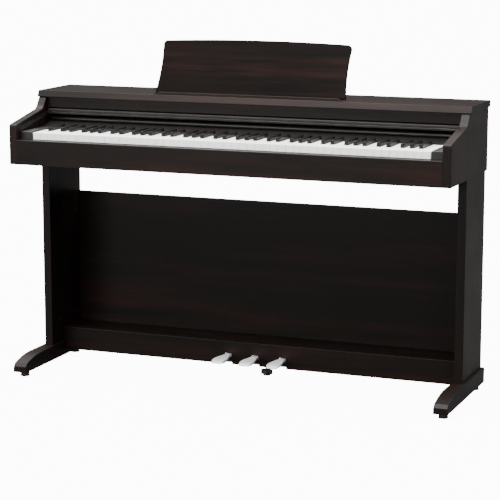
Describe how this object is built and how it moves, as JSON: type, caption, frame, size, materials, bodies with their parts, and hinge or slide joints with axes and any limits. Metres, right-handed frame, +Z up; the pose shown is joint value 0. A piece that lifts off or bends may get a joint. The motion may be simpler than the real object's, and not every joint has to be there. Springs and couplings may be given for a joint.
{
  "type": "digital piano on stand",
  "caption": "Cabinet-style digital piano on a fixed stand: full keyboard, sliding key cover, folding music rest and three pedals.",
  "frame": {"origin": "floor level, under the middle of the object's box", "axes": "+X along the keyboard to the player's right, +Y from the player to the back, +Z up"},
  "size_m": [1.361, 0.406, 1.019],
  "materials": {
    "dark_wood": "satin rosewood-pattern laminate",
    "board_underside": "matt dark laminate",
    "fascia_wood": "satin dark laminate",
    "fascia_black": "semi-gloss black",
    "fascia_brown": "satin brown",
    "cheek_plastic": "satin dark grey",
    "black_plastic": "matt black",
    "button_plastic": "satin charcoal",
    "steel_sheet": "zinc plated",
    "steel": "black plated",
    "spring_steel": "drawn wire",
    "screw_steel": "black oxide",
    "felt": "dense red felt",
    "circuit_board": "solder-masked glass fibre",
    "key_white": "satin ivory white",
    "key_black": "matt ebony",
    "cover_rail": "satin brown-grey",
    "pad_rubber": "moulded",
    "pedal_metal": "polished plate",
    "speaker_cone": "paper cone in a pressed frame",
    "grille_metal": "black powder coat",
    "socket_plastic": "moulded black"
  },
  "bodies": {
    "piano": {"top_board": "dark_wood", "left_side_panel": "dark_wood", "right_side_panel": "dark_wood", "key_slip": "dark_wood", "key_bed": "board_underside", "cabinet_back": "board_underside", "name_panel": "fascia_wood", "fascia_rail": "fascia_black", "key_back_strip": "fascia_brown", "cheek_blocks": "cheek_plastic", "cover_guides": "black_plastic", "key_frame": "steel_sheet", "stop_felt": "felt", "contact_board": "circuit_board", "main_board": "circuit_board", "rest_ledge": "dark_wood", "rest_tracks": "steel", "left_leg": "dark_wood", "right_leg": "dark_wood", "left_foot": "dark_wood", "right_foot": "dark_wood", "foot_pads": "pad_rubber", "back_board": "dark_wood", "pedal_front_board": "dark_wood", "pedal_lid": "dark_wood", "pedal_base": "steel_sheet", "pedal_axle": "steel", "pedal_springs": "spring_steel", "speakers": "speaker_cone", "speaker_grilles": "grille_metal", "sockets": "socket_plastic", "assembly_screws": "screw_steel"},
    "music_rest": {"music_rest": "dark_wood", "rest_brackets": "steel"},
    "left_rest_stay": {"left_rest_stay": "steel"},
    "right_rest_stay": {"right_rest_stay": "steel"},
    "key_cover": {"key_cover": "fascia_wood", "key_cover_rail": "cover_rail"},
    "white_keys": {"white_keys": "key_white"},
    "black_keys": {"black_keys": "key_black"},
    "left_pedal": {"left_pedal": "pedal_metal"},
    "middle_pedal": {"middle_pedal": "pedal_metal"},
    "right_pedal": {"right_pedal": "pedal_metal"},
    "power_button": {"power_button": "button_plastic"},
    "sound_button": {"sound_button": "button_plastic"},
    "metronome_button": {"metronome_button": "button_plastic"},
    "volume_slider": {"volume_slider": "button_plastic"},
    "support_bolt": {"support_bolt": "black_plastic"},
    "key_c": {"key_c": "key_white"},
    "key_d": {"key_d": "key_white"},
    "key_e": {"key_e": "key_white"},
    "key_f": {"key_f": "key_white"},
    "key_g": {"key_g": "key_white"},
    "key_a": {"key_a": "key_white"},
    "key_b": {"key_b": "key_white"},
    "key_c_sharp": {"key_c_sharp": "key_black"},
    "key_d_sharp": {"key_d_sharp": "key_black"},
    "key_f_sharp": {"key_f_sharp": "key_black"},
    "key_g_sharp": {"key_g_sharp": "key_black"},
    "key_a_sharp": {"key_a_sharp": "key_black"}
  },
  "joints": [
    {"name": "rest_fold", "type": "hinge", "parent": "piano", "child": "music_rest", "pos_m": [0, 0.032, 0.862], "axis": [-1, 0, 0], "range_deg": [0, 67]},
    {"name": "left_stay_fold", "type": "hinge", "parent": "music_rest", "child": "left_rest_stay", "pos_m": [-0.2, 0.06404, 0.93748], "axis": [1, 0, 0], "range_deg": [0, 134]},
    {"name": "right_stay_fold", "type": "hinge", "parent": "music_rest", "child": "right_rest_stay", "pos_m": [0.2, 0.06404, 0.93748], "axis": [1, 0, 0], "range_deg": [0, 134]},
    {"name": "cover_slide", "type": "slide", "parent": "piano", "child": "key_cover", "axis": [0, -0.9829, -0.184], "range_m": [0, 0.178]},
    {"name": "key_c_press", "type": "hinge", "parent": "piano", "child": "key_c", "pos_m": [0, 0.052, 0.728], "axis": [1, 0, 0], "range_deg": [0, 2.5], "stiffness_Nm_per_rad": 2, "springref_deg": -6.88},
    {"name": "key_d_press", "type": "hinge", "parent": "piano", "child": "key_d", "pos_m": [0, 0.052, 0.728], "axis": [1, 0, 0], "range_deg": [0, 2.5], "stiffness_Nm_per_rad": 2, "springref_deg": -6.88},
    {"name": "key_e_press", "type": "hinge", "parent": "piano", "child": "key_e", "pos_m": [0, 0.052, 0.728], "axis": [1, 0, 0], "range_deg": [0, 2.5], "stiffness_Nm_per_rad": 2, "springref_deg": -6.88},
    {"name": "key_f_press", "type": "hinge", "parent": "piano", "child": "key_f", "pos_m": [0, 0.052, 0.728], "axis": [1, 0, 0], "range_deg": [0, 2.5], "stiffness_Nm_per_rad": 2, "springref_deg": -6.88},
    {"name": "key_g_press", "type": "hinge", "parent": "piano", "child": "key_g", "pos_m": [0, 0.052, 0.728], "axis": [1, 0, 0], "range_deg": [0, 2.5], "stiffness_Nm_per_rad": 2, "springref_deg": -6.88},
    {"name": "key_a_press", "type": "hinge", "parent": "piano", "child": "key_a", "pos_m": [0, 0.052, 0.728], "axis": [1, 0, 0], "range_deg": [0, 2.5], "stiffness_Nm_per_rad": 2, "springref_deg": -6.88},
    {"name": "key_b_press", "type": "hinge", "parent": "piano", "child": "key_b", "pos_m": [0, 0.052, 0.728], "axis": [1, 0, 0], "range_deg": [0, 2.5], "stiffness_Nm_per_rad": 2, "springref_deg": -6.88},
    {"name": "key_c_sharp_press", "type": "hinge", "parent": "piano", "child": "key_c_sharp", "pos_m": [0, 0.052, 0.728], "axis": [1, 0, 0], "range_deg": [0, 2.5], "stiffness_Nm_per_rad": 2, "springref_deg": -6.88},
    {"name": "key_d_sharp_press", "type": "hinge", "parent": "piano", "child": "key_d_sharp", "pos_m": [0, 0.052, 0.728], "axis": [1, 0, 0], "range_deg": [0, 2.5], "stiffness_Nm_per_rad": 2, "springref_deg": -6.88},
    {"name": "key_f_sharp_press", "type": "hinge", "parent": "piano", "child": "key_f_sharp", "pos_m": [0, 0.052, 0.728], "axis": [1, 0, 0], "range_deg": [0, 2.5], "stiffness_Nm_per_rad": 2, "springref_deg": -6.88},
    {"name": "key_g_sharp_press", "type": "hinge", "parent": "piano", "child": "key_g_sharp", "pos_m": [0, 0.052, 0.728], "axis": [1, 0, 0], "range_deg": [0, 2.5], "stiffness_Nm_per_rad": 2, "springref_deg": -6.88},
    {"name": "key_a_sharp_press", "type": "hinge", "parent": "piano", "child": "key_a_sharp", "pos_m": [0, 0.052, 0.728], "axis": [1, 0, 0], "range_deg": [0, 2.5], "stiffness_Nm_per_rad": 2, "springref_deg": -6.88},
    {"name": "white_keys_press", "type": "hinge", "parent": "piano", "child": "white_keys", "pos_m": [0, 0.052, 0.728], "axis": [1, 0, 0], "range_deg": [0, 2.5], "stiffness_Nm_per_rad": 90, "springref_deg": -6.88},
    {"name": "black_keys_press", "type": "hinge", "parent": "piano", "child": "black_keys", "pos_m": [0, 0.052, 0.728], "axis": [1, 0, 0], "range_deg": [0, 2.5], "stiffness_Nm_per_rad": 62, "springref_deg": -6.88},
    {"name": "left_pedal_press", "type": "hinge", "parent": "piano", "child": "left_pedal", "pos_m": [0, 0.12, 0.057], "axis": [1, 0, 0], "range_deg": [0, 4.9], "stiffness_Nm_per_rad": 16, "springref_deg": -8.02},
    {"name": "middle_pedal_press", "type": "hinge", "parent": "piano", "child": "middle_pedal", "pos_m": [0, 0.12, 0.057], "axis": [1, 0, 0], "range_deg": [0, 4.9], "stiffness_Nm_per_rad": 16, "springref_deg": -8.02},
    {"name": "right_pedal_press", "type": "hinge", "parent": "piano", "child": "right_pedal", "pos_m": [0, 0.12, 0.057], "axis": [1, 0, 0], "range_deg": [0, 4.9], "stiffness_Nm_per_rad": 16, "springref_deg": -8.02},
    {"name": "power_button_press", "type": "slide", "parent": "piano", "child": "power_button", "axis": [0, 0, -1], "range_m": [0, 0.0012], "stiffness_N_per_m": 600, "springref_m": -0.0015},
    {"name": "sound_button_press", "type": "slide", "parent": "piano", "child": "sound_button", "axis": [0, 0, -1], "range_m": [0, 0.0012], "stiffness_N_per_m": 600, "springref_m": -0.0015},
    {"name": "metronome_button_press", "type": "slide", "parent": "piano", "child": "metronome_button", "axis": [0, 0, -1], "range_m": [0, 0.0012], "stiffness_N_per_m": 600, "springref_m": -0.0015},
    {"name": "volume_slide", "type": "slide", "parent": "piano", "child": "volume_slider", "axis": [0, 1, 0], "range_m": [-0.02, 0.02]},
    {"name": "support_bolt_lift", "type": "slide", "parent": "piano", "child": "support_bolt", "axis": [0, 0, 1], "range_m": [0, 0.012]}
  ],
  "couplings": [
    {"joint": "left_stay_fold", "follows": "rest_fold", "ratio": 2},
    {"joint": "right_stay_fold", "follows": "rest_fold", "ratio": 2}
  ]
}
